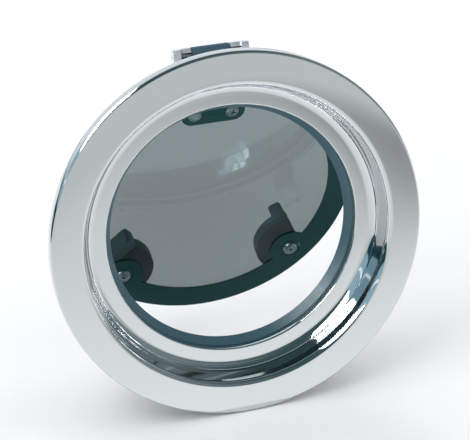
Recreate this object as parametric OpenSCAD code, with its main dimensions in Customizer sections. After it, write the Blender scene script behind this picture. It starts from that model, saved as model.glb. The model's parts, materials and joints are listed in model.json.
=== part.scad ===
// Round opening hatch with a polished outer flange, for a panel 12 mm thick.
// +X is right and +Z is up, as seen from outside; +Y points inboard.
// The origin is the centre of the face that the flange's rim seats on.
// The lid is drawn open by lid_open, swung inboard about the hinge at the top.

/* [Outer flange] */
// Outer radius of the flange
flange_r = 160; // [156:0.5:162]
// Height of the flange's front face above the panel
flange_h = 12; // [11:0.5:13]
// Thickness of the pressed sheet
sheet_t = 1.5; // [1.2:0.1:1.6]
// Radius where the flat front face starts to roll inwards
roll_r = 136; // [134.5:0.5:136.5]
// Radius of the outer edge of the flat inner ledge
ledge_r = 119.4; // [118:0.2:120]
// Radius of the opening through the flange
throat_r = 109.4; // [108.8:0.2:109.6]
// Depth of the inner ledge behind the panel's front
ledge_y = 11.6; // [11:0.2:12]

/* [Inner frame] */
// Gap left for the panel between the flange's seat and the inner frame
panel_t = 12; // [12:0.5:13]
// Outer radius of the inner frame
frame_r = 153; // [152:0.5:154]
// Radius of the clear opening at the liner
clear_r = 103.4; // [102:0.2:105]

/* [Lid] */
// Radius of the clear pane
pane_r = 134.5; // [133:0.5:135]
// Thickness of the pane
pane_t = 10; // [8:0.5:10]
// Inner radius of the dark border
border_in_r = 110.6; // [108:0.2:112]
// Depth of the border's front when the lid is shut
border_y = 30; // [30:0.5:32]
// Angle by which the lid is drawn open
lid_open = 22.6; // [0:0.2:60]

/* [Hinge] */
// Depth of the hinge axis
hinge_y = 47; // [46.5:0.5:49]
// Height of the hinge axis above the centre
hinge_z = 146.5; // [146:0.5:148]
// Length of the hinge along its axis
hinge_len = 65; // [62:1:67]
// Length of the lid's knuckle
knuckle_len = 32; // [26:1:34]

/* [Handles] */
// Distance of each handle's spindle from the lid's centre
spindle_ring_r = 113; // [112:0.5:114]
// Direction of the right handle's arm, anticlockwise from +X seen from outside
right_arm = 113; // [100:1:125]
// Direction of the left handle's arm
left_arm = 44; // [40:1:55]
// Height of the grip above the pane's inner face
grip_top = 34; // [26:0.5:36]

/* [Fixings] */
// Radius of the circle of welded studs
stud_ring_r = 145; // [144.8:0.1:145.2]
// Radius of each stud
stud_r = 2.5; // [2.5:0.1:2.6]
// Number of studs
stud_n = 8; // [8:8:8]

/* [Hidden] */

$fn = 96;
ring_fn = 240;          // segments around the large rings
arc_n = 10;             // steps along a profile's rounded corner
gap = 0.15;             // small clearance between stationary pieces

face_y = -flange_h;
edge_round = 3;         // rolled outer edge of the flange
roll_bend = 5.5;        // radius where the front face turns inwards
ledge_bend = 9;         // radius where the wall meets the ledge
throat_end_y = 19.7;    // inner end of the flange's throat wall
throat_corner = 1.2;

frame_front = panel_t;
frame_web = 5;          // thickness of the inner frame's clamping flange
frame_back = 27;        // depth of the inner frame's raised face
seal_in = 122;
seal_out = 128.5;
seal_lift = 0.4;        // the drawn seal stops this far short of the shut lid

border_t = 1;
pane_front = border_y + border_t;
pane_back = pane_front + pane_t;

knuckle_r = 6.5;
pin_r = 3;
run_gap = 0.05;         // radial running clearance
friction_drop = 6.2;    // friction screw below the pin
friction_r = 1.5;
bush_wall = 1.2;
ear_w = 6.5;            // width of each ear of the bracket
ear_round = 2.5;        // front upper corner of each ear
foot_z = [141.4, 149.3];// lower and upper edge of the bracket's foot on the inner frame
bracket_screw_x = 12;
bracket_screw_z = 146;
leaf_t = 4;
leaf_w = 56;
pad_low_z = 84.5;       // lower edge of the hinge pad and leaf
pad_screw_x = 16.4;
pad_screw_z = 94.8;

left_clock = 225;       // directions of the two spindles from the lid's centre
right_clock = -45;
spindle_r = 4;
bush_r = 6;
cam_low = 1.3;          // clearance of the cam above the pane
cam_t = 3;
spindle_top = 10;       // end of the spindle above the pane
hub_r = 10.5;           // round part of a handle about its spindle
sector_r = 33;          // round side of a handle
sector_at = [-2, -1.5]; // centre of the round side, along and across the arm
flat_side = -10.9;      // straight side of a handle, across the arm
shoulder = [-8.5, -5.5];// where the slanted side leaves the hub
slant_to = [-40, 49];   // the slanted side runs from the shoulder towards here
knob_top = 12.5;
grip_a = [-3, 23];      // ends of the raised grip, along the arm
grip_b = [-9.4, 3.1];   // sides of the grip, across the arm
lobe_r = 19.5;          // border lobe around each spindle
cup_r = 7;

keeper_w = 24;
keeper_gap = 0.8;       // handle to keeper lip
keeper_lip_r = 138.5;
keeper_post_r = 145.6;
keeper_out_r = 152.6;
keeper_screw_r = 149.1;
keeper_screw_x = 6;
m4_r = 1.95;
m4_hole = 2.0;

// ---------- helpers ----------

// points along an arc, angles in degrees, from a0 to a1
function arc(c, r, a0, a1, n = arc_n) =
    [for (i = [0:n]) let (a = a0 + (a1 - a0) * i / n) [c[0] + r * cos(a), c[1] + r * sin(a)]];

// turns a shape drawn along +Z so that it runs along +Y
module along_y() { rotate([-90, 0, 0]) children(); }

// revolves an outline of [radius, depth] points about the Y axis
module ring(outline) { along_y() rotate_extrude($fn = ring_fn) polygon(outline); }

// a cylinder along Y from depth y0 to y1
module rod_y(r, y0, y1) { translate([0, y0, 0]) along_y() cylinder(r = r, h = y1 - y0); }

// moves to a place on a circle round the Y axis; local +X points outwards
module at_clock(clock, r) { rotate([0, -clock, 0]) translate([r, 0, 0]) children(); }

// swings a shape drawn with the lid shut to the lid's drawn position
module opened() {
    translate([0, hinge_y, hinge_z]) rotate([lid_open, 0, 0])
        translate([0, -hinge_y, -hinge_z]) children();
}

// places a handle piece: origin on the spindle at the pane's inner face, +X along the arm
module on_spindle(clock, arm) {
    opened() rotate([0, -clock, 0]) translate([spindle_ring_r, pane_back, 0])
        rotate([0, clock - arm, 0]) children();
}

// a rectangle with rounded corners, between x[0] and x[1] and between y[0] and y[1]
module round_box2d(x, y, r) {
    translate([x[0] + r, y[0]]) square([x[1] - x[0] - 2 * r, y[1] - y[0]]);
    translate([x[0], y[0] + r]) square([x[1] - x[0], y[1] - y[0] - 2 * r]);
    for (cx = [x[0] + r, x[1] - r], cy = [y[0] + r, y[1] - r]) translate([cx, cy]) circle(r);
}

// a socket-head screw along +Y: head_r, head_h behind depth 0, shank forwards
module socket_screw(shank_r, len, head_r, head_h) {
    difference() {
        union() {
            rod_y(shank_r, -len, 0.01);
            rod_y(head_r, 0, head_h);
        }
        translate([0, head_h * 0.4, 0]) along_y() cylinder(r = head_r * 0.5, h = head_h, $fn = 6);
    }
}

// ---------- outer shell ----------

// straight wall between the two bends of the flange's profile
bend_a = [roll_r, face_y + roll_bend];
bend_b = [ledge_r, ledge_y - ledge_bend];
bend_v = bend_a - bend_b;
wall_dir = atan2(bend_v[1], bend_v[0]) + acos((roll_bend + ledge_bend) / norm(bend_v));

// the front surface moved back by d, from the rim round to the throat
function flange_line(d) = concat(
    [[flange_r - d, 0]],
    arc([flange_r - edge_round, face_y + edge_round], edge_round - d, 0, -90, 6),
    arc(bend_a, roll_bend - d, 270, 180 + wall_dir),
    arc(bend_b, ledge_bend + d, wall_dir, 90, 14),
    arc([throat_r + throat_corner, ledge_y + throat_corner], throat_corner - d * 0.7, 270, 180, 4));

module outer_flange() {
    front = flange_line(0);
    back = flange_line(sheet_t);
    nb = len(back);
    color([0.86, 0.87, 0.88]) ring(concat(
        front, [[throat_r, throat_end_y], [throat_r + sheet_t, throat_end_y]],
        [[throat_r + sheet_t, ledge_y + sheet_t + 1], [throat_r + sheet_t + 1, ledge_y + sheet_t]],
        [for (i = [nb - 6:-1:0]) back[i]]));
}

module panel_gasket() {
    color([0.1, 0.1, 0.11]) ring([[149.2, face_y + sheet_t + gap], [156.3, face_y + sheet_t + gap],
        [flange_r - sheet_t - gap, face_y + sheet_t + 2.2], [flange_r - sheet_t - gap, 0], [149.2, 0]]);
}

module fixing_studs() {
    color([0.8, 0.81, 0.82]) for (i = [0:stud_n - 1]) at_clock(22.5 + i * 360 / stud_n, stud_ring_r) {
        rod_y(stud_r * 1.7, face_y + sheet_t, face_y + sheet_t + 1);
        rod_y(stud_r, face_y + sheet_t, panel_t + 2);
        rod_y(stud_r - 0.3, panel_t, panel_t + frame_web + 7);
    }
}

module stud_washers() {
    color([0.8, 0.81, 0.82]) for (i = [0:stud_n - 1]) at_clock(22.5 + i * 360 / stud_n, stud_ring_r)
        difference() {
            rod_y(5.5, panel_t + frame_web, panel_t + frame_web + 1);
            rod_y(stud_r, panel_t, panel_t + frame_web + 2);
        }
}

module stud_dome_nuts() {
    low = panel_t + frame_web + 1;
    color([0.82, 0.83, 0.84]) for (i = [0:stud_n - 1]) at_clock(22.5 + i * 360 / stud_n, stud_ring_r)
        difference() {
            union() {
                translate([0, low, 0]) along_y() cylinder(r = 4.6, h = 4, $fn = 6);
                intersection() {
                    translate([0, low + 4.2, 0]) sphere(r = 3.8);
                    rod_y(4, low + 1, low + 9);
                }
            }
            rod_y(stud_r - 0.25, low - 1, low + 6.2);
        }
}

// ---------- inner frame ----------

module inner_frame() {
    web_back = frame_front + frame_web;
    color([0.72, 0.73, 0.74]) difference() {
        ring([[125.5, frame_front], [frame_r, frame_front], [frame_r, web_back - 1], [frame_r - 1, web_back],
            [139.3, web_back], [138.5, web_back + 0.8], [138.5, frame_back - 1], [137.5, frame_back],
            [seal_out + gap, frame_back], [seal_out + gap, frame_back - 3],
            [seal_in - gap, frame_back - 3], [seal_in - gap, frame_back], [115.5, frame_back],
            [115.5, 23.8], [112.5, 23.8], [112.5, ledge_y + sheet_t + 0.5], [125.5, ledge_y + sheet_t + 0.5]]);
        for (i = [0:stud_n - 1]) at_clock(22.5 + i * 360 / stud_n, stud_ring_r)
            rod_y(stud_r + 1.2, frame_front - 1, web_back + 1);
        for (x = [-1, 1] * bracket_screw_x) translate([x, 0, bracket_screw_z]) rod_y(m4_hole, frame_front - 1, web_back + 1);
        for (c = [left_clock, right_clock], x = [-keeper_screw_x, keeper_screw_x])
            at_clock(c, keeper_screw_r) translate([0, 0, x]) rod_y(m4_hole, frame_front - 1, web_back + 1);
    }
}

module throat_liner() {
    color([0.24, 0.36, 0.44]) ring([[109.2, 20], [clear_r + 0.3, 25.9], [clear_r, 26.4], [clear_r + 0.5, 27],
        [115.3, 27], [115.3, 24], [112.3, 24], [112.3, 20]]);
}

module lid_seal() {
    top = border_y - seal_lift;
    mid = (seal_in + seal_out) / 2;
    color([0.07, 0.08, 0.09]) ring(concat([[seal_in, frame_back - 3], [seal_out, frame_back - 3]],
        arc([mid, top - 2.6], 2.6, 0, 180, 12)));
}

// ---------- latch keepers ----------

module keeper(clock) {
    foot = frame_front + frame_web;
    lip = pane_back + knob_top + keeper_gap;
    color([0.78, 0.79, 0.8]) at_clock(clock, 0) difference() {
        union() {
            translate([keeper_post_r, foot, -keeper_w / 2])
                cube([keeper_out_r - keeper_post_r, lip + 4 - foot, keeper_w]);
            translate([keeper_lip_r, lip, -keeper_w / 2]) cube([10, 4, keeper_w]);
        }
        for (z = [-keeper_w / 2, keeper_w / 2]) translate([keeper_lip_r - 3, lip - 1, z])
            rotate([0, 45, 0]) translate([-3, 0, -3]) cube([6, 6, 6]);
        for (x = [-keeper_screw_x, keeper_screw_x]) translate([keeper_screw_r, 0, x]) {
            rod_y(m4_hole + 0.15, foot - 1, lip + 5);
            rod_y(3.3, lip + 1, lip + 5);
        }
    }
}

module left_keeper() { keeper(left_clock); }
module right_keeper() { keeper(right_clock); }

module keeper_screws() {
    seat = pane_back + knob_top + keeper_gap + 1;
    color([0.8, 0.81, 0.82]) for (c = [left_clock, right_clock], x = [-keeper_screw_x, keeper_screw_x])
        at_clock(c, keeper_screw_r) translate([0, seat, x])
            socket_screw(m4_r, seat - frame_front - 0.4, 3.1, 2.9);
}

// ---------- hinge ----------

// the ear's side view, drawn with Y to the right and Z up
module ear2d() {
    foot = frame_front + frame_web;
    front = hinge_y - knuckle_r;
    top = hinge_z + knuckle_r;
    low = hinge_z - friction_drop - 2.8;
    translate([hinge_y, hinge_z]) circle(knuckle_r);
    translate([front + ear_round, top - ear_round]) circle(ear_round);
    translate([front, low]) square([knuckle_r - 1, top - ear_round - low]);
    translate([front + ear_round, low]) square([knuckle_r - ear_round, top - low]);
    translate([hinge_y - 1.5, hinge_z - friction_drop]) circle(3.4);
    polygon([[foot, foot_z[0]], [foot, foot_z[1]], [front + 1, hinge_z - 3], [front + 1, low], [foot + 13, 138.2]]);
}

// extrudes a [Y, Z] outline along X from x0 to x1
module along_x(x0, x1) {
    translate([x0, 0, 0]) rotate([90, 0, 90]) linear_extrude(x1 - x0) children();
}

module hinge_bracket() {
    foot = frame_front + frame_web;
    half = hinge_len / 2;
    bar_in = knuckle_len / 2 + 1;
    color([0.8, 0.81, 0.83]) difference() {
        union() {
            along_x(-half, -half + ear_w) ear2d();
            along_x(half - ear_w, half) ear2d();
            along_x(-half, half) translate([foot, foot_z[0]]) square([4, foot_z[1] - foot_z[0] + 0.3]);
            for (x = [[-half, -bar_in], [bar_in, half]]) along_x(x[0], x[1]) intersection() {
                translate([hinge_y, hinge_z]) circle(knuckle_r);
                translate([hinge_y - 5.5, hinge_z + 3.6]) square([20, 20]);
            }
        }
        translate([-half + 3, hinge_y, hinge_z]) rotate([0, 90, 0]) cylinder(r = pin_r, h = hinge_len - 6);
        for (s = [-1, 1]) translate([s * (half - 1), hinge_y, hinge_z]) rotate([0, 90, 0])
            cylinder(r = 1.6, h = 6, center = true, $fn = 24);
        translate([-half - 1, hinge_y - 1.5, hinge_z - friction_drop]) rotate([0, 90, 0])
            cylinder(r = friction_r, h = 7, $fn = 24);
        for (x = [-1, 1] * bracket_screw_x) translate([x, 0, bracket_screw_z]) rod_y(m4_hole + 0.15, foot - 1, foot + 5);
    }
}

module bracket_screws() {
    seat = frame_front + frame_web + 4;
    color([0.8, 0.81, 0.82]) for (x = [-1, 1] * bracket_screw_x) translate([x, seat, bracket_screw_z])
        socket_screw(m4_r, seat - frame_front - 0.4, 3.4, 2.6);
}

module hinge_pin() {
    color([0.7, 0.71, 0.72]) translate([-hinge_len / 2 + 3, hinge_y, hinge_z]) rotate([0, 90, 0])
        cylinder(r = pin_r - 0.01, h = hinge_len - 6);
}

module hinge_thrust_washers() {
    color([0.16, 0.18, 0.19]) for (s = [-1, 1])
        translate([s * (knuckle_len / 2 + 0.5), hinge_y, hinge_z]) rotate([0, 90, 0]) difference() {
            cylinder(r = knuckle_r - 1, h = 0.8, center = true);
            cylinder(r = pin_r + 0.1, h = 2, center = true);
        }
}

module friction_screw() {
    color([0.25, 0.25, 0.27]) translate([-hinge_len / 2 + 0.8, hinge_y - 1.5, hinge_z - friction_drop])
        rotate([0, 90, 0]) difference() {
            cylinder(r = friction_r - 0.05, h = 5.1, $fn = 24);
            translate([0, 0, -1]) cylinder(r = 0.75, h = 2.4, $fn = 6);
        }
}

module hinge_leaf() {
    half = knuckle_len / 2 - 0.05;
    low = pad_low_z + 0.5;
    color([0.12, 0.2, 0.27]) opened() difference() {
        union() {
            translate([-half, hinge_y, hinge_z]) rotate([0, 90, 0]) cylinder(r = knuckle_r, h = 2 * half);
            translate([-half, pane_back, 120]) cube([2 * half, leaf_t, hinge_z - 120]);
            translate([-half, pane_back, hinge_z - knuckle_r + 0.5]) cube([2 * half, hinge_y - pane_back, 4]);
            translate([0, pane_back, 0]) along_y() linear_extrude(leaf_t) {
                translate([-leaf_w / 2, -130]) square([leaf_w, 130 - low - 8]);
                translate([-leaf_w / 2 + 8, -120]) square([leaf_w - 16, 120 - low]);
                for (s = [-1, 1]) translate([s * (leaf_w / 2 - 8), -low - 8]) circle(8);
            }
        }
        translate([-half - 1, hinge_y, hinge_z]) rotate([0, 90, 0])
            cylinder(r = pin_r + run_gap + bush_wall, h = 2 * half + 2);
        for (s = [-1, 1]) translate([s * pad_screw_x, 0, pad_screw_z])
            rod_y(m4_hole, pane_back - 1, pane_back + leaf_t + 1);
    }
}

module knuckle_bushes() {
    half = knuckle_len / 2 - 0.05;
    color([0.16, 0.18, 0.19]) opened() for (x0 = [-half, 0.5])
        translate([x0, hinge_y, hinge_z]) rotate([0, 90, 0]) difference() {
            cylinder(r = pin_r + run_gap + bush_wall, h = half - 0.5);
            translate([0, 0, -1]) cylinder(r = pin_r + run_gap, h = half + 2);
        }
}

// ---------- lid ----------

// calls children at both spindles, in the shut lid's frame
module each_spindle() { for (c = [left_clock, right_clock]) at_clock(c, spindle_ring_r) children(); }

module lid_pane() {
    bevel = 0.8;
    color([0.35, 0.4, 0.42, 0.6]) opened() difference() {
        ring([[0, pane_front], [pane_r - bevel, pane_front], [pane_r, pane_front + bevel],
            [pane_r, pane_back - bevel], [pane_r - bevel, pane_back], [0, pane_back]]);
        each_spindle() rod_y(bush_r, pane_front - 1, pane_back + 1);
        for (s = [-1, 1]) translate([s * pad_screw_x, 0, pad_screw_z])
            rod_y(m4_hole + 0.3, pane_front - 1, pane_back + 1);
    }
}

module lid_border() {
    color([0.05, 0.07, 0.08]) opened() difference() {
        union() {
            ring([[border_in_r, border_y], [pane_r - 1, border_y], [pane_r - 0.8, border_y + 0.2],
                [pane_r - 0.8, pane_front], [border_in_r, pane_front]]);
            each_spindle() rod_y(lobe_r, border_y, pane_front);
        }
        each_spindle() rod_y(bush_r + 3.5, border_y - 1, pane_front + 1);
        translate([0, border_y - 1, 0]) along_y() linear_extrude(3) pad2d(0.2);
    }
}

// outline of the hinge pad, in X and -Z, grown by g
module pad2d(g) {
    top = 116;
    half = leaf_w / 2 + g;
    low = pad_low_z - g;
    translate([-half, -top - g]) square([2 * half, top - low - 10 + g]);
    translate([-half + 10, -top]) square([2 * half - 20, top - low]);
    for (s = [-1, 1]) translate([s * (half - 10), -low - 10]) circle(10);
}

module hinge_pad() {
    color([0.05, 0.06, 0.07]) opened() difference() {
        translate([0, border_y, 0]) along_y() linear_extrude(border_t) pad2d(0);
        for (s = [-1, 1]) translate([s * pad_screw_x, 0, pad_screw_z])
            rod_y(m4_hole + 0.3, border_y - 1, pane_front + 1);
    }
}

module hinge_pad_screws() {
    color([0.6, 0.62, 0.64]) opened() for (s = [-1, 1]) translate([s * pad_screw_x, border_y, pad_screw_z])
        difference() {
            union() {
                ring([[0, -2.2], [3.6, -2.2], [5, -1.5], [5.8, -0.6], [5.8, 0], [0, 0]]);
                rod_y(m4_r, -0.5, pane_back + leaf_t - border_y);
            }
            translate([0, -3, 0]) along_y() cylinder(r = 1.7, h = 1.9, $fn = 6);
        }
}

// flanged bush that carries a spindle through the pane
module spindle_bush(clock) {
    color([0.08, 0.08, 0.09]) on_spindle(clock, clock) difference() {
        union() {
            rod_y(bush_r - 0.02, border_y - pane_back, 0);
            rod_y(bush_r + 3, 0, 1);
            rod_y(bush_r + 3, border_y - pane_back, border_y + border_t - pane_back);
        }
        rod_y(spindle_r + run_gap, -20, 5);
        rod_y(spindle_r + 1.4, -5.4, -3.6);
    }
}

module left_spindle_bush() { spindle_bush(left_clock); }
module right_spindle_bush() { spindle_bush(right_clock); }

module spindle_oring(clock) {
    color([0.05, 0.05, 0.05]) on_spindle(clock, clock)
        ring(arc([spindle_r + 0.85, -4.5], 0.55, 0, 345, 15));
}

module left_spindle_oring() { spindle_oring(left_clock); }
module right_spindle_oring() { spindle_oring(right_clock); }

// ---------- handles ----------

// outline of a handle, drawn along the arm; side +1 puts its round side anticlockwise of
// the arm, -1 clockwise, seen from outside
module handle2d(side) {
    function across(p) = [p[0], -side * p[1]];
    circle(hub_r);
    intersection() {
        translate(across(sector_at)) circle(sector_r);
        polygon([for (p = [[2, flat_side], [50, flat_side], [50, 50], slant_to, shoulder]) across(p)]);
    }
}

module cam(clock, arm, side) {
    color([0.1, 0.11, 0.12]) on_spindle(clock, arm) difference() {
        translate([0, cam_low, 0]) along_y() linear_extrude(cam_t) handle2d(side);
        rod_y(spindle_r, 0, spindle_top);
    }
}

module knob(clock, arm, side) {
    low = cam_low + cam_t;
    grip_y = side > 0 ? [-grip_b[1], -grip_b[0]] : grip_b;
    color([0.07, 0.08, 0.09]) on_spindle(clock, arm) difference() {
        union() {
            translate([0, low, 0]) along_y() linear_extrude(knob_top - low) handle2d(side);
            translate([0, low, 0]) along_y() linear_extrude(grip_top - low) round_box2d(grip_a, grip_y, 3);
        }
        rod_y(spindle_r, 0, spindle_top);
    }
}

module spindle(clock, arm) {
    color([0.75, 0.76, 0.78]) on_spindle(clock, arm) difference() {
        rod_y(spindle_r, border_y - pane_back + 0.2, spindle_top);
        rod_y(2.3, -20, -1);
    }
}

module cup_washer(clock, arm) {
    seat = border_y - pane_back;
    color([0.7, 0.72, 0.74]) on_spindle(clock, arm) difference() {
        ring([[2.6, seat - 0.6], [4.2, seat - 1.9], [4.9, seat - 2.1], [6, seat - 1.5], [cup_r, seat - 0.3],
            [cup_r, seat - 0.1], [2.6, seat - 0.1]]);
        rod_y(2.4, -30, 5);
    }
}

module handle_screw(clock, arm) {
    seat = border_y - pane_back;
    color([0.65, 0.67, 0.7]) on_spindle(clock, arm) difference() {
        union() {
            ring([[0, seat - 2.3], [3.2, seat - 2.1], [4.1, seat - 1.85], [2.5, seat - 0.65], [2.2, seat - 0.6],
                [2.2, -1.2], [0, -1.2]]);
        }
        translate([0, seat - 4, 0]) along_y() cylinder(r = 1.5, h = 3, $fn = 6);
    }
}

module left_cam() { cam(left_clock, left_arm, -1); }
module left_knob() { knob(left_clock, left_arm, -1); }
module left_spindle() { spindle(left_clock, left_arm); }
module left_cup_washer() { cup_washer(left_clock, left_arm); }
module left_handle_screw() { handle_screw(left_clock, left_arm); }
module right_cam() { cam(right_clock, right_arm, 1); }
module right_knob() { knob(right_clock, right_arm, 1); }
module right_spindle() { spindle(right_clock, right_arm); }
module right_cup_washer() { cup_washer(right_clock, right_arm); }
module right_handle_screw() { handle_screw(right_clock, right_arm); }

outer_flange();
panel_gasket();
fixing_studs();
stud_washers();
stud_dome_nuts();
inner_frame();
throat_liner();
lid_seal();
left_keeper();
right_keeper();
keeper_screws();
hinge_bracket();
bracket_screws();
hinge_pin();
hinge_thrust_washers();
friction_screw();
lid_pane();
lid_border();
hinge_pad();
hinge_pad_screws();
hinge_leaf();
knuckle_bushes();
left_spindle_bush();
right_spindle_bush();
left_spindle_oring();
right_spindle_oring();
left_cam();
left_knob();
left_spindle();
left_cup_washer();
left_handle_screw();
right_cam();
right_knob();
right_spindle();
right_cup_washer();
right_handle_screw();
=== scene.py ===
"""Looks of a round opening hatch with a polished pressed flange and a smoked clear lid.

Sizes are in millimetres until a mesh is made; the row frame has +X right and +Z up as seen
from outside, and +Y inboard. Outlines of ring-shaped pieces are lists of (radius, depth).
"""

import json
import math
import bmesh
import bpy
from mathutils import Matrix, Vector

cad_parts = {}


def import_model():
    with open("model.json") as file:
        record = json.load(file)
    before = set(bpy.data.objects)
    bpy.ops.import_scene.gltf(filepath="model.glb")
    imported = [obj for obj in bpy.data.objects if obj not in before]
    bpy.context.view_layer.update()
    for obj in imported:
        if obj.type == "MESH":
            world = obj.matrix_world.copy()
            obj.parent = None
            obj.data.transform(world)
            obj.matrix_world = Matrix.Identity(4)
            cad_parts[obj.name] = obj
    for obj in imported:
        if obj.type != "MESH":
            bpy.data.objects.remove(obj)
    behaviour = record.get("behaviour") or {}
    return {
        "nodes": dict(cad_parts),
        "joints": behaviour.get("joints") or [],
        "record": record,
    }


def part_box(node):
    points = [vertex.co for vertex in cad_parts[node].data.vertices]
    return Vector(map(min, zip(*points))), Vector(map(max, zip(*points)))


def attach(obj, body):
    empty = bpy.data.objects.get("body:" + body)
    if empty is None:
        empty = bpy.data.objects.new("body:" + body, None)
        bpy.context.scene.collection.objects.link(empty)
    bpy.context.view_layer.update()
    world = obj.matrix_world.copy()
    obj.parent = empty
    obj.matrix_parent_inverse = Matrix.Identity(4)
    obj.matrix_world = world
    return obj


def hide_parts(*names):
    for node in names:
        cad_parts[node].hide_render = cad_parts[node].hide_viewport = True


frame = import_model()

MM = 0.001
scene = bpy.context.scene
record = frame["record"]
joints = {j["name"]: j for j in frame["joints"]}
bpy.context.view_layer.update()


# ---------- places read from the frame ----------

def edge(node, axis, top):
    """One face of a node's box, in millimetres."""
    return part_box(node)[1 if top else 0][axis] / MM


FLANGE_R = 160.0
FLANGE_FRONT = edge("outer_flange", 1, False)
THROAT_END = edge("outer_flange", 1, True)
SHEET = 1.5
HINGE = [v / MM for v in joints["lid_hinge"]["pos_m"]]
LID_OPEN = -math.radians(joints["lid_hinge"]["range_deg"][0])
PANE_BACK = 41.0
BORDER_FRONT = 30.0
SPINDLE_RING = 113.0
CLOCKS = {"left": 225.0, "right": -45.0}
SIDES = {"left": -1, "right": 1}      # which way the handle's round side lies from its arm
ARMS = {
    "left": -45.0 - joints["left_handle_turn"]["range_deg"][0],
    "right": 225.0 + joints["right_handle_turn"]["range_deg"][0],
}

OPENED = (
    Matrix.Translation((0, HINGE[1], HINGE[2]))
    @ Matrix.Rotation(LID_OPEN, 4, "X")
    @ Matrix.Translation((0, -HINGE[1], -HINGE[2]))
)


def at_clock(clock, radius, depth=0.0):
    """Moves to a place on a circle round the Y axis; local +X points outwards."""
    turn = Matrix.Rotation(-math.radians(clock), 4, "Y")
    return turn @ Matrix.Translation((radius, depth, 0))


def on_spindle(side):
    """Local +X along the handle's arm, +Y inboard from the pane's inner face."""
    turn = Matrix.Rotation(math.radians(CLOCKS[side] - ARMS[side]), 4, "Y")
    return OPENED @ at_clock(CLOCKS[side], SPINDLE_RING, PANE_BACK) @ turn


# ---------- outlines ----------

def arc(centre, radius, start, end, steps=8):
    """Points along an arc, angles in degrees."""
    points = []
    for i in range(steps + 1):
        a = math.radians(start + (end - start) * i / steps)
        points.append((centre[0] + radius * math.cos(a), centre[1] + radius * math.sin(a)))
    return points


def rounded(corners, radius, steps=4):
    """A closed outline with each corner rounded; radius is one number or one for each corner."""
    count = len(corners)
    radii = radius if isinstance(radius, (list, tuple)) else [radius] * count
    points = []
    for i, corner in enumerate(corners):
        here = Vector(corner)
        back = Vector(corners[i - 1]) - here
        ahead = Vector(corners[(i + 1) % count]) - here
        half = back.angle(ahead) / 2
        if radii[i] <= 0 or half > math.radians(88):
            points.append(tuple(here))
            continue
        run = min(radii[i] / math.tan(half), back.length * 0.49, ahead.length * 0.49)
        r = run * math.tan(half)
        centre = here + (back.normalized() + ahead.normalized()).normalized() * (r / math.sin(half))
        first = here + back.normalized() * run - centre
        last = here + ahead.normalized() * run - centre
        sweep = first.angle_signed(last)
        for k in range(steps + 1):
            spoke = first.copy()
            spoke.rotate(Matrix.Rotation(-sweep * k / steps, 2))
            points.append(tuple(centre + spoke))
    return points


# ---------- meshes ----------

def piece(name, mesh, body, material, sharp=40):
    """Links a mesh as a piece of the object, smooth except at corners over the sharp angle."""
    obj = bpy.data.objects.new(name, mesh)
    scene.collection.objects.link(obj)
    mesh.materials.clear()
    mesh.materials.append(material)
    mesh.shade_smooth()
    mesh.set_sharp_from_angle(angle=math.radians(sharp))
    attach(obj, body)
    return obj


def build(verts, faces, matrix=None):
    """A closed mesh in metres from points in millimetres, with its faces turned outwards."""
    mesh = bpy.data.meshes.new("mesh")
    mesh.from_pydata([tuple(v) for v in verts], [], faces)
    bm = bmesh.new()
    bm.from_mesh(mesh)
    bmesh.ops.remove_doubles(bm, verts=bm.verts, dist=0.001)
    bmesh.ops.dissolve_degenerate(bm, edges=bm.edges, dist=0.0005)
    bmesh.ops.recalc_face_normals(bm, faces=bm.faces)
    bm.to_mesh(mesh)
    bm.free()
    mesh.transform(Matrix.Scale(MM, 4) @ (matrix or Matrix()))
    return mesh


def revolve(outline, steps=192, matrix=None):
    """A closed (radius, depth) outline turned about the Y axis."""
    count = len(outline)
    verts, faces = [], []
    for i in range(steps):
        a = 2 * math.pi * i / steps
        for r, y in outline:
            verts.append((r * math.cos(a), y, r * math.sin(a)))
    for i in range(steps):
        j = (i + 1) % steps
        for k in range(count):
            m = (k + 1) % count
            faces.append((i * count + k, i * count + m, j * count + m, j * count + k))
    return build(verts, faces, matrix)


def prism(outline, low, high, matrix=None):
    """A closed outline in local X and Z, from depth low to depth high along Y."""
    count = len(outline)
    verts = [(x, low, z) for x, z in outline] + [(x, high, z) for x, z in outline]
    faces = [tuple(range(count)), tuple(range(2 * count - 1, count - 1, -1))]
    for k in range(count):
        m = (k + 1) % count
        faces.append((k, m, count + m, count + k))
    return build(verts, faces, matrix)


def applied(obj):
    """Replaces an object's mesh by the result of its modifiers."""
    graph = bpy.context.evaluated_depsgraph_get()
    graph.update()
    mesh = bpy.data.meshes.new_from_object(obj.evaluated_get(graph))
    obj.modifiers.clear()
    obj.data = mesh
    return mesh


def combined(mesh, other, operation="DIFFERENCE"):
    """The first mesh cut by, or joined with, the second."""
    objs = [bpy.data.objects.new("part", m) for m in (mesh, other)]
    for obj in objs:
        scene.collection.objects.link(obj)
    boolean = objs[0].modifiers.new("cut", "BOOLEAN")
    boolean.operation = operation
    boolean.object = objs[1]
    boolean.solver = "EXACT"
    result = applied(objs[0])
    for obj in objs:
        bpy.data.objects.remove(obj)
    return result


def bevelled(mesh, width, segments=3, angle=35):
    """The mesh with its corners rounded; width in millimetres."""
    obj = bpy.data.objects.new("part", mesh)
    scene.collection.objects.link(obj)
    bevel = obj.modifiers.new("bevel", "BEVEL")
    bevel.width = width * MM
    bevel.segments = segments
    bevel.limit_method = "ANGLE"
    bevel.angle_limit = math.radians(angle)
    result = applied(obj)
    bpy.data.objects.remove(obj)
    return result


def merged(meshes):
    """Several meshes as one."""
    bm = bmesh.new()
    for mesh in meshes:
        bm.from_mesh(mesh)
    mesh = bpy.data.meshes.new("mesh")
    bm.to_mesh(mesh)
    bm.free()
    return mesh


# ---------- materials ----------

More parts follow.
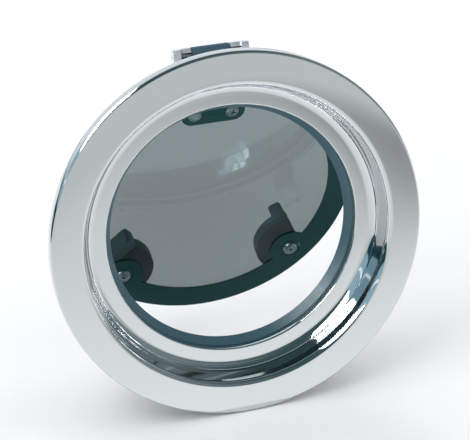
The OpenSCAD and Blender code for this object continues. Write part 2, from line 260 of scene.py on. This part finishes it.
def material(name, color, roughness, metallic=0.0, **sockets):
    """A Principled material; returns it with its node tree and shader for more nodes."""
    mat = bpy.data.materials.new(name)
    mat.use_nodes = True
    tree = mat.node_tree
    shader = tree.nodes["Principled BSDF"]
    shader.inputs["Base Color"].default_value = (*color, 1)
    shader.inputs["Roughness"].default_value = roughness
    shader.inputs["Metallic"].default_value = metallic
    for key, value in sockets.items():
        shader.inputs[key.replace("_", " ")].default_value = value
    return mat, tree, shader


def texture(tree, scale, detail=4.0, stretch=(1, 1, 1)):
    """A noise texture over the object's own coordinates, in cycles per metre."""
    coords = tree.nodes.new("ShaderNodeTexCoord")
    mapping = tree.nodes.new("ShaderNodeMapping")
    mapping.inputs["Scale"].default_value = stretch
    tree.links.new(coords.outputs["Object"], mapping.inputs["Vector"])
    node = tree.nodes.new("ShaderNodeTexNoise")
    node.inputs["Scale"].default_value = scale
    node.inputs["Detail"].default_value = detail
    tree.links.new(mapping.outputs["Vector"], node.inputs["Vector"])
    return node.outputs["Fac"]


def ramp(tree, value, start, end, low=0.0, high=1.0, smooth=False):
    """Maps a value's start..end range onto low..high."""
    node = tree.nodes.new("ShaderNodeMapRange")
    if smooth:
        node.interpolation_type = "SMOOTHSTEP"
    for key, amount in (("From Min", start), ("From Max", end), ("To Min", low), ("To Max", high)):
        node.inputs[key].default_value = amount
    tree.links.new(value, node.inputs["Value"])
    return node.outputs["Result"]


def spread(tree, factor, low, high, socket):
    """Runs a noise factor out to a low..high range and into a socket."""
    tree.links.new(ramp(tree, factor, 0.3, 0.7, low, high), socket)


def blended(tree, factor, low, high):
    """A colour that runs from low to high with a 0..1 factor."""
    node = tree.nodes.new("ShaderNodeMix")
    node.data_type = "RGBA"
    node.inputs["A"].default_value = (*low, 1)
    node.inputs["B"].default_value = (*high, 1)
    tree.links.new(factor, node.inputs["Factor"])
    return node.outputs["Result"]


def tinted(tree, factor, low, high, socket):
    """Runs a 0..1 factor between two colours and into a socket."""
    tree.links.new(blended(tree, factor, low, high), socket)


def bumped(tree, factor, strength, distance, shader):
    """Surface relief from a factor; distance in metres."""
    node = tree.nodes.new("ShaderNodeBump")
    node.inputs["Strength"].default_value = strength
    node.inputs["Distance"].default_value = distance
    tree.links.new(factor, node.inputs["Height"])
    tree.links.new(node.outputs["Normal"], shader.inputs["Normal"])


def polished_steel():
    mat, tree, shader = material("polished_steel", (0.6, 0.62, 0.63), 0.05, 1.0)
    spread(tree, texture(tree, 14), 0.03, 0.075, shader.inputs["Roughness"])
    tinted(tree, texture(tree, 5), (0.57, 0.595, 0.61), (0.62, 0.635, 0.64), shader.inputs["Base Color"])
    bumped(tree, texture(tree, 22, 2), 0.12, 0.0006, shader)
    return mat


def brushed(name, low, high, rough, stretch=(1, 1, 12)):
    mat, tree, shader = material(name, low, rough, 1.0)
    spread(tree, texture(tree, 60, 3, stretch), rough - 0.03, rough + 0.04, shader.inputs["Roughness"])
    tinted(tree, texture(tree, 40), low, high, shader.inputs["Base Color"])
    return mat


def cast_alloy():
    mat, tree, shader = material("cast_alloy", (0.55, 0.56, 0.57), 0.42, 1.0)
    grain = texture(tree, 900, 5)
    spread(tree, texture(tree, 60), 0.34, 0.5, shader.inputs["Roughness"])
    tinted(tree, grain, (0.5, 0.51, 0.52), (0.62, 0.63, 0.64), shader.inputs["Base Color"])
    bumped(tree, grain, 0.35, 0.0002, shader)
    return mat


def plastic(name, low, high, rough, grain_scale=1400, relief=0.3, **sockets):
    mat, tree, shader = material(name, low, rough, 0.0, **sockets)
    grain = texture(tree, grain_scale, 3)
    spread(tree, texture(tree, 35), rough - 0.05, rough + 0.07, shader.inputs["Roughness"])
    tinted(tree, texture(tree, 22), low, high, shader.inputs["Base Color"])
    bumped(tree, grain, relief, 0.00008, shader)
    return mat


def smoked_acrylic():
    mat, tree, shader = material("smoked_acrylic", (0.2, 0.23, 0.235), 0.03, 0.0, IOR=1.49,
                                  Specular_Tint=(0.66, 0.95, 1.0, 1))
    shader.inputs["Transmission Weight"].default_value = 1.0
    spread(tree, texture(tree, 6), 0.015, 0.05, shader.inputs["Roughness"])
    tinted(tree, texture(tree, 4), (0.19, 0.222, 0.228), (0.215, 0.25, 0.256), shader.inputs["Base Color"])
    return mat


TEAL = (0.25, 0.95, 1.0, 1)       # tint of the dark plastics' gloss

MATERIALS = {
    "polished_steel": polished_steel(),
    "bright_steel": brushed("bright_steel", (0.5, 0.54, 0.55), (0.6, 0.63, 0.64), 0.2),
    "satin_steel": brushed("satin_steel", (0.74, 0.76, 0.77), (0.8, 0.82, 0.83), 0.4, (14, 1, 1)),
    "dark_steel": brushed("dark_steel", (0.1, 0.15, 0.16), (0.16, 0.21, 0.22), 0.25),
    "cast_alloy": cast_alloy(),
    "liner_rubber": plastic("liner_rubber", (0.026, 0.08, 0.108), (0.036, 0.1, 0.13), 0.33, 700),
    "black_rubber": plastic("black_rubber", (0.012, 0.014, 0.016), (0.022, 0.024, 0.026), 0.62, 900),
    "smoked_acrylic": smoked_acrylic(),
    "black_border": plastic("black_border", (0.001, 0.014, 0.015), (0.003, 0.022, 0.023), 0.14, 300, 0.05,
                            Specular_Tint=TEAL, Specular_IOR_Level=0.36),
    "hinge_leaf_plastic": plastic("hinge_leaf_plastic", (0.03, 0.075, 0.12), (0.04, 0.1, 0.15), 0.34),
    "black_plastic": plastic("black_plastic", (0.004, 0.024, 0.026), (0.008, 0.034, 0.037), 0.36,
                             Specular_Tint=TEAL, Specular_IOR_Level=0.3),
    "dark_nylon": plastic("dark_nylon", (0.014, 0.018, 0.02), (0.02, 0.025, 0.028), 0.4, 500, 0.1),
}


# ---------- CAD nodes that stay ----------

def soften(node, width, segments=2):
    """Finish of a CAD node: its material, small rounded corners and even shading."""
    obj = frame["nodes"][node]
    slot = next(s["material_slot"] for s in record["subparts"] if s["node"] == node)
    for holder in obj.material_slots:
        holder.material = MATERIALS[slot]
    weld = obj.modifiers.new("weld", "WELD")
    weld.merge_threshold = 0.00001
    if width:
        bevel = obj.modifiers.new("bevel", "BEVEL")
        bevel.width = width * MM
        bevel.segments = segments
        bevel.limit_method = "ANGLE"
        bevel.angle_limit = math.radians(38)
        bevel.use_clamp_overlap = True
    even = obj.modifiers.new("even", "WEIGHTED_NORMAL")
    even.keep_sharp = True


SOFTENED = {
    "panel_gasket": 0, "fixing_studs": 0, "stud_washers": 0.15, "stud_dome_nuts": 0.25,
    "inner_frame": 0.4, "lid_seal": 0, "left_keeper": 0.6, "right_keeper": 0.6, "keeper_screws": 0.25,
    "hinge_bracket": 0.4, "bracket_screws": 0.25, "hinge_pin": 0, "hinge_thrust_washers": 0,
    "friction_screw": 0.1, "lid_pane": 0, "lid_border": 0.35, "hinge_pad": 0.3, "hinge_leaf": 0.5,
    "knuckle_bushes": 0, "left_spindle_bush": 0.2, "right_spindle_bush": 0.2, "left_spindle_oring": 0,
    "right_spindle_oring": 0, "left_spindle": 0.2, "right_spindle": 0.2,
}
for node, width in SOFTENED.items():
    soften(node, width)


# ---------- outer flange and liner ----------

def flange_outline():
    """The pressed sheet's section: rim, flat face, rolled wall, ledge and throat."""
    face = FLANGE_FRONT
    rim_round, roll_r, roll = 2.3, 136.0, 5.5
    ledge_r, ledge_y, ledge_bend, throat_r, corner = 119.4, 11.6, 9.0, 109.4, 1.2
    a = Vector((roll_r, face + roll))
    b = Vector((ledge_r, ledge_y - ledge_bend))
    span = a - b
    wall = math.degrees(math.atan2(span.y, span.x) + math.acos((roll + ledge_bend) / span.length))

    def line(d):
        return (
            arc((FLANGE_R - rim_round, face + rim_round), rim_round - d, 0, -90, 8)
            + arc(a, roll - d, 270, 180 + wall, 20)
            + arc(b, ledge_bend + d, wall, 90, 28)
            + arc((throat_r + corner, ledge_y + corner), corner - d * 0.7, 270, 180, 6)
        )

    hem = 0.35
    rim = arc((FLANGE_R - hem, -hem), hem, 90, 0, 3) + line(0)
    end = arc((throat_r + hem, THROAT_END - hem), hem, 180, 90, 3)
    end += arc((throat_r + SHEET - hem, THROAT_END - hem), hem, 90, 0, 3)
    corner_points = 7      # the back has its own, sharper corner
    back = line(SHEET)[:-corner_points]
    back.append((throat_r + SHEET + 1, ledge_y + SHEET))
    back.append((throat_r + SHEET, ledge_y + SHEET + 1))
    foot = arc((FLANGE_R - SHEET + hem, -hem), hem, 180, 90, 3)
    return rim + end + back[::-1] + foot


flange = piece("polished_flange", revolve(flange_outline(), 256), "frame",
               MATERIALS["polished_steel"], 60)
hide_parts("outer_flange")

LINER = [(109.2, 20), (103.7, 25.9), (103.4, 26.4), (103.9, 27), (115.3, 27), (115.3, 24), (112.3, 24),
         (112.3, 20)]
liner = piece("rubber_liner", revolve(rounded(LINER, [0.5, 1.2, 0.3, 0.4, 0.3, 0, 0, 0.3]), 192), "frame",
              MATERIALS["liner_rubber"])
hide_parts("throat_liner")


# ---------- lid fasteners ----------

PAD_SCREW_X = 16.4
PAD_SCREW_Z = 94.8

def cross_recess(depth_from, width, long, matrix):
    """A cutter for a cross-shaped driver recess, open towards the outside."""
    bars = []
    for turn in (0, 90):
        spin = Matrix.Rotation(math.radians(turn), 4, "Y")
        shape = [(-long, -width), (long, -width), (long, width), (-long, width)]
        bars.append(prism(shape, depth_from - 4, depth_from, matrix @ spin))
    return combined(bars[0], bars[1], "UNION")


def pad_screws():
    """Two domed screws with cross recesses through the hinge pad."""
    head = rounded([(0, -2.2), (3.2, -2.2), (5.8, -0.7), (5.8, 0), (0, 0)], [0, 3.5, 0.5, 0.1, 0], 6)
    shank = [(0, -0.5), (1.9, -0.5), (1.9, 14.4), (1.6, 14.8), (0, 14.8)]
    meshes = []
    for x in (-PAD_SCREW_X, PAD_SCREW_X):
        place = OPENED @ Matrix.Translation((x, BORDER_FRONT, PAD_SCREW_Z))
        cutter = cross_recess(-0.9, 0.75, 2.7, place @ Matrix.Rotation(0.4 * (x > 0), 4, "Y"))
        meshes.append(combined(revolve(head, 48, place), cutter))
        meshes.append(revolve(shank, 24, place))
    obj = piece("pad_screws", merged(meshes), "lid", MATERIALS["dark_steel"], 30)
    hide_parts("hinge_pad_screws")


def handle_fixing(side):
    """The cup washer and the countersunk socket screw that hold a handle, seen from outside."""
    body = side + "_handle"
    seat = BORDER_FRONT - PANE_BACK
    cup = rounded([(2.6, seat - 0.6), (4.3, seat - 1.9), (5.0, seat - 2.1), (6.1, seat - 1.5),
                   (7.0, seat - 0.35), (7.0, seat - 0.1), (2.6, seat - 0.1)],
                  [0.2, 0.3, 0.6, 0.8, 0.1, 0.05, 0.1], 5)
    place = on_spindle(side)
    washer = piece(side + "_cup", revolve(cup, 64, place), body,
                   MATERIALS["dark_steel"], 50)
    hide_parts(side + "_cup_washer")
    screw = rounded([(0, seat - 2.35), (2.9, seat - 2.2), (4.1, seat - 1.85), (2.5, seat - 0.65),
                     (2.2, seat - 0.5), (2.2, -1.2), (0, -1.2)], [0, 0.8, 0.15, 0.2, 0.1, 0.3, 0], 4)
    socket = prism(arc((0, 0), 1.55, 0, 300, 5), seat - 4, seat - 1.2, place)
    cut = combined(revolve(screw, 48, place), socket)
    head = piece(side + "_socket_screw", cut, body, MATERIALS["dark_steel"], 30)
    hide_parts(side + "_handle_screw")


# ---------- handles ----------

CAM_LOW, CAM_TOP, BODY_TOP, GRIP_TOP = 1.3, 4.3, 12.5, 34.0
HUB_R = 10.5
SECTOR_R = 33.0
SECTOR_AT = (-2.0, -1.5)      # centre of the round side
FLAT_SIDE = -10.9             # straight side
SHOULDER = (-8.5, -5.5)       # where the slanted side leaves the hub
SLANT_TO = (-40.0, 49.0)      # the slanted side points here
GRIP_ENDS = (-3.0, 23.0)
GRIP_SIDES = (-9.4, 3.1)


def handle_outline(side):
    """Round hub and round side joined by a straight side, along local X and Z."""
    lift = math.asin((FLAT_SIDE - SECTOR_AT[1]) / SECTOR_R)
    tip = (SECTOR_AT[0] + SECTOR_R * math.cos(lift), FLAT_SIDE)
    shoulder = Vector(SHOULDER)
    along = (Vector(SLANT_TO) - shoulder).normalized()
    to = shoulder - Vector(SECTOR_AT)
    reach = -to.dot(along) + math.sqrt(to.dot(along) ** 2 - to.length_squared + SECTOR_R * SECTOR_R)
    far = shoulder + along * reach
    far_angle = math.degrees(math.atan2(far.y - SECTOR_AT[1], far.x - SECTOR_AT[0]))
    points = arc(SECTOR_AT, SECTOR_R, math.degrees(lift), far_angle, 40)
    begin = math.degrees(math.atan2(-5.2, -8.8)) % 360
    points += arc((0, 0), HUB_R, begin, 275, 14)
    points.append((2.0, FLAT_SIDE))
    points = round_tips(points, [tip, tuple(far)], 2.5)
    return [(x, side * z) for x, z in points]


def round_tips(points, tips, radius):
    """Rounds only the corners that lie at the given places."""
    radii = []
    for p in points:
        near = any((Vector(p) - Vector(t)).length < 0.05 for t in tips)
        radii.append(radius if near else 0)
    thinned = []
    for p, r in zip(points, radii):
        crowded = r == 0 and any(0.05 <= (Vector(p) - Vector(t)).length < radius * 1.6 for t in tips)
        if not crowded:
            thinned.append((p, r))
    return rounded([p for p, r in thinned], [r for p, r in thinned], 6)


def handle(side):
    """A turning handle: thin cam plate, thick body and a raised thumb grip."""
    place = on_spindle(side)
    turn = SIDES[side]
    outline = handle_outline(turn)
    plate = bevelled(prism(outline, CAM_LOW, CAM_TOP - 0.1, place), 0.5)
    cam = piece(side + "_cam_plate", plate, side + "_handle", MATERIALS["black_plastic"])
    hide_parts(side + "_cam")
    low, high = sorted(turn * z for z in GRIP_SIDES)
    start, end = GRIP_ENDS
    corners = [(start, low), (end, low), (end, high), (start, high)]
    grip = prism(rounded(corners, 3.2, 6), CAM_TOP + 1, GRIP_TOP, place)
    body = prism(outline, CAM_TOP + 0.1, BODY_TOP, place)
    shape = merged([bevelled(body, 1.6, 4), bevelled(grip, 1.8, 4)])
    knob = piece(side + "_handle_body", shape, side + "_handle",
                 MATERIALS["black_plastic"])
    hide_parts(side + "_knob")


pad_screws()
for side in ("left", "right"):
    handle(side)
    handle_fixing(side)


# ---------- camera, floor and light, in metres ----------

CAMERA_PLACE = (-0.301255, -1.186310, 0.469595)
CAMERA_FORWARD = (0.22986, 0.90829, -0.34953)
CAMERA_RIGHT = (0.96049, -0.26963, -0.06902)
CAMERA_LENS = 119.56      # in millimetres, on a sensor 36 mm wide
FLOOR_LEVEL = -0.1605

def aimed(obj, place, target):
    """Puts an object at a place with its -Z axis towards a target, both in metres."""
    obj.location = place
    direction = Vector(target) - Vector(place)
    obj.rotation_euler = direction.to_track_quat("-Z", "Y").to_euler()


def camera():
    data = bpy.data.cameras.new("camera")
    data.sensor_width = 36
    data.lens = CAMERA_LENS
    data.clip_end = 100
    obj = bpy.data.objects.new("camera", data)
    scene.collection.objects.link(obj)
    forward = Vector(CAMERA_FORWARD).normalized()
    right = Vector(CAMERA_RIGHT).normalized()
    up = right.cross(forward)
    basis = Matrix((right, up, -forward)).transposed().to_4x4()
    obj.matrix_world = Matrix.Translation(CAMERA_PLACE) @ basis
    scene.camera = obj


def level_card(left, right, front, back, level):
    """Corners of a level rectangle."""
    return [(left, front, level), (right, front, level), (right, back, level), (left, back, level)]


def floor():
    mesh = bpy.data.meshes.new("floor")
    half = 12
    mesh.from_pydata(level_card(-half, half, -half, half, FLOOR_LEVEL), [], [(0, 1, 2, 3)])
    obj = bpy.data.objects.new("floor", mesh)
    scene.collection.objects.link(obj)
    mat, _, _ = material("floor", (0.9, 0.9, 0.9), 0.7)
    mesh.materials.append(mat)


def card(name, corners, color, strength=1.0):
    """A glowing or dark card that only reflections see; corners in metres."""
    mesh = bpy.data.meshes.new(name)
    mesh.from_pydata(corners, [], [(0, 1, 2, 3)])
    obj = bpy.data.objects.new(name, mesh)
    scene.collection.objects.link(obj)
    mat = bpy.data.materials.new(name)
    mat.use_nodes = True
    tree = mat.node_tree
    tree.nodes.clear()
    glow = tree.nodes.new("ShaderNodeEmission")
    glow.inputs["Color"].default_value = (*color, 1)
    glow.inputs["Strength"].default_value = strength
    out = tree.nodes.new("ShaderNodeOutputMaterial")
    tree.links.new(glow.outputs["Emission"], out.inputs["Surface"])
    mesh.materials.append(mat)
    for ray in ("camera", "diffuse", "shadow", "transmission", "volume_scatter"):
        setattr(obj, "visible_" + ray, False)
    return obj


def side_wall(name, low, high, color, strength=1.0, ahead=-14.0):
    """A long card at the left of the room, between two slopes seen from the hatch.

    Its bands drop towards the front and the wall leans in there.
    """
    away, behind, fall = 3.0, 5.2, 0.21
    front = -away - 0.085 * ahead
    corners = [(front, ahead, low * away + ahead * fall), (-away, behind, low * away + behind * fall),
               (-away, behind, high * away + behind * fall), (front, ahead, high * away + ahead * fall)]
    card(name, corners, color, strength)


def front_floor():
    """A painted reflection of the floor before the hatch as its flat face mirrors it: a glowing card,
    painted bright close by and with a painted dim patch away to the right.
    """
    left, right, far, close = -1, 1.2, -2.5, -0.02
    obj = card("front_floor", level_card(left, right, far, close, FLOOR_LEVEL + 0.001), (0.97, 1.0, 1.0))
    tree = obj.active_material.node_tree
    coords = tree.nodes.new("ShaderNodeTexCoord")
    split = tree.nodes.new("ShaderNodeSeparateXYZ")
    tree.links.new(coords.outputs["Object"], split.inputs[0])
    # painted light: the card glows brighter close to the hatch
    near = ramp(tree, split.outputs["Y"], -0.75, close, 0.8, 1.2)
    reach = tree.nodes.new("ShaderNodeVectorMath")
    reach.operation = "DISTANCE"
    reach.inputs[1].default_value = (0.46, -0.58, FLOOR_LEVEL + 0.001)
    tree.links.new(coords.outputs["Object"], reach.inputs[0])
    # painted shade: a dim patch in this reflection card, away to the right
    shade = ramp(tree, reach.outputs["Value"], 0.05, 0.5, 0.42, 0.0, smooth=True)
    glow = tree.nodes.new("ShaderNodeMath")
    glow.operation = "SUBTRACT"
    tree.links.new(near, glow.inputs[0])
    tree.links.new(shade, glow.inputs[1])
    tree.links.new(glow.outputs[0], tree.nodes["Emission"].inputs["Strength"])


def area_light(name, place, size, power, color=(1, 1, 1)):
    data = bpy.data.lights.new(name, "AREA")
    data.shape = "RECTANGLE"
    data.size, data.size_y = size
    data.energy = power
    data.color = color
    obj = bpy.data.objects.new(name, data)
    scene.collection.objects.link(obj)
    obj.visible_glossy = False
    aimed(obj, place, (0, 0, 0))


def world():
    """Pale all round, but a dim room with a lighter right side to reflections."""
    scene.world = bpy.data.worlds.new("studio")
    scene.world.use_nodes = True
    tree = scene.world.node_tree
    pale = tree.nodes["Background"]
    pale.inputs["Color"].default_value = (0.95, 0.97, 1.0, 1)
    pale.inputs["Strength"].default_value = 0.72
    room = tree.nodes.new("ShaderNodeBackground")
    coords = tree.nodes.new("ShaderNodeTexCoord")
    split = tree.nodes.new("ShaderNodeSeparateXYZ")
    tree.links.new(coords.outputs["Generated"], split.inputs[0])
    factors = []
    for axis, start, end in (("X", -0.2, 0.8), ("Z", 0.95, 0.5)):
        factors.append(ramp(tree, split.outputs[axis], start, end, smooth=True))
    both = tree.nodes.new("ShaderNodeMath")
    both.operation = "MULTIPLY"
    for i in (0, 1):
        tree.links.new(factors[i], both.inputs[i])
    sides = blended(tree, both.outputs[0], (0.06, 0.115, 0.125), (0.26, 0.33, 0.36))
    behind = ramp(tree, split.outputs["Y"], 0.6, 0.85, smooth=True)
    last = blended(tree, behind, (0, 0, 0), (0.9, 0.95, 1.0))
    tree.links.new(sides, last.node.inputs["A"])
    tree.links.new(last, room.inputs["Color"])
    path = tree.nodes.new("ShaderNodeLightPath")
    mix = tree.nodes.new("ShaderNodeMixShader")
    tree.links.new(path.outputs["Is Glossy Ray"], mix.inputs[0])
    tree.links.new(pale.outputs[0], mix.inputs[1])
    tree.links.new(room.outputs[0], mix.inputs[2])
    tree.links.new(mix.outputs[0], tree.nodes["World Output"].inputs["Surface"])


camera()
floor()
world()
area_light("key", (-1.6, -1.4, 2.4), (1.6, 1.6), 26)
area_light("fill", (1.8, -1.0, 1.4), (1.2, 1.2), 8)
area_light("back", (0.3, 2.2, 1.8), (2.0, 1.2), 24)
WINDOW_PANES = ((0.6, 0.79), (0.805, 1.08), (1.1, 1.4), (1.42, 1.78))      # low and high slopes
WINDOW_GLOW = 14.0
WINDOW_AHEAD = -5.0
for i, (low, high) in enumerate(WINDOW_PANES):
    side_wall("window_%d" % i, low, high, (1.0, 1.0, 1.0), WINDOW_GLOW, WINDOW_AHEAD)
side_wall("window_frame", 0.6, 1.76, (0.45, 0.68, 0.85), 1.0, WINDOW_AHEAD)
side_wall("sky", 0.14, 0.6, (0.42, 0.68, 0.84), 0.85)
side_wall("sky_line", 0.3, 0.33, (1.0, 1.0, 1.0), 2.0)
side_wall("dado", -0.06, 0.14, (0.01, 0.06, 0.09))
FRONT_BANDS = (    # height near the middle, height far to the right, height of the band, shade
    (1.1, 0.4, 0.1, 0.03), (1.7, 0.8, 0.12, 0.75), (2.5, 1.4, 0.5, 0.04), (3.6, 2.6, 0.16, 0.8),
    (4.6, 3.6, 0.5, 0.05))
for i, (near, far, tall, shade) in enumerate(FRONT_BANDS):
    card("front_%d" % i, [(0.4, -3, near), (9, -3, far), (9, -3, far + tall), (0.4, -3, near + tall)],
         (shade * 0.75, shade, shade * 1.05))
card("dark_floor", level_card(-3, -1.1, -12, 5, FLOOR_LEVEL + 0.0015), (0.02, 0.09, 0.11))
front_floor()
scene.view_settings.view_transform = "Standard"
